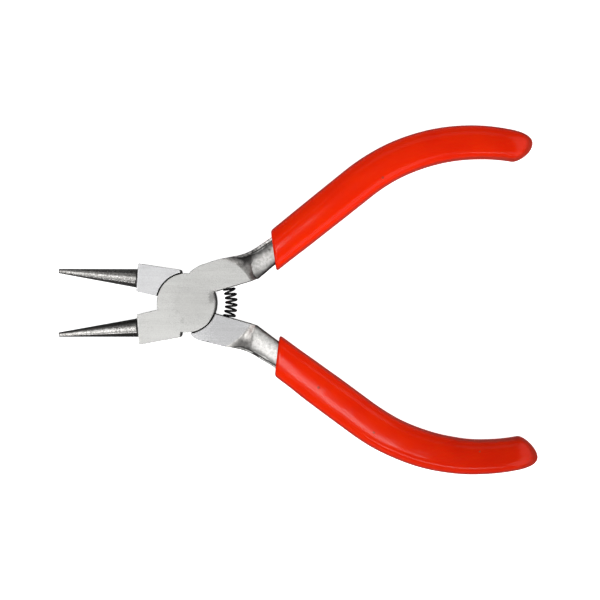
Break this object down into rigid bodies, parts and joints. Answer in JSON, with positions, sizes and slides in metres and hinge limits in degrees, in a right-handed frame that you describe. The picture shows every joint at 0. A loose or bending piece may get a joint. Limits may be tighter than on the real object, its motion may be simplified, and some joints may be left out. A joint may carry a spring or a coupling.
{
  "type": "round nose pliers",
  "caption": "Small lap-joint pliers with two tapering round jaws, a coil return spring between the necks and bowed handles in dipped vinyl sleeves.",
  "frame": {"origin": "where the pivot axis meets the back ground face, which the pliers lie on", "axes": "+Z along the pivot axis from the back face to the front face, +X along the tool from the jaws to the handle ends, +Y towards the front half's handle"},
  "size_m": [0.1198, 0.0873, 0.0086],
  "materials": {
    "forged_steel": "ground flat on the joint faces, forged on the necks, dark polished jaws",
    "rivet_steel": "ground flush with the joint faces",
    "spring_wire": "black oil-tempered wire",
    "grip_vinyl": "glossy dipped vinyl, red"
  },
  "bodies": {
    "front": {"front_half": "forged_steel", "pivot_rivet": "rivet_steel", "upper_grip": "grip_vinyl", "return_spring": "spring_wire"},
    "back": {"back_half": "forged_steel", "lower_grip": "grip_vinyl"}
  },
  "joints": [
    {"name": "jaw_pivot", "type": "hinge", "parent": "front", "child": "back", "pos_m": [0, 0, 0], "axis": [0, 0, 1], "range_deg": [-11, 25.5], "stiffness_Nm_per_rad": 0.9, "deforming": ["return_spring"]}
  ]
}
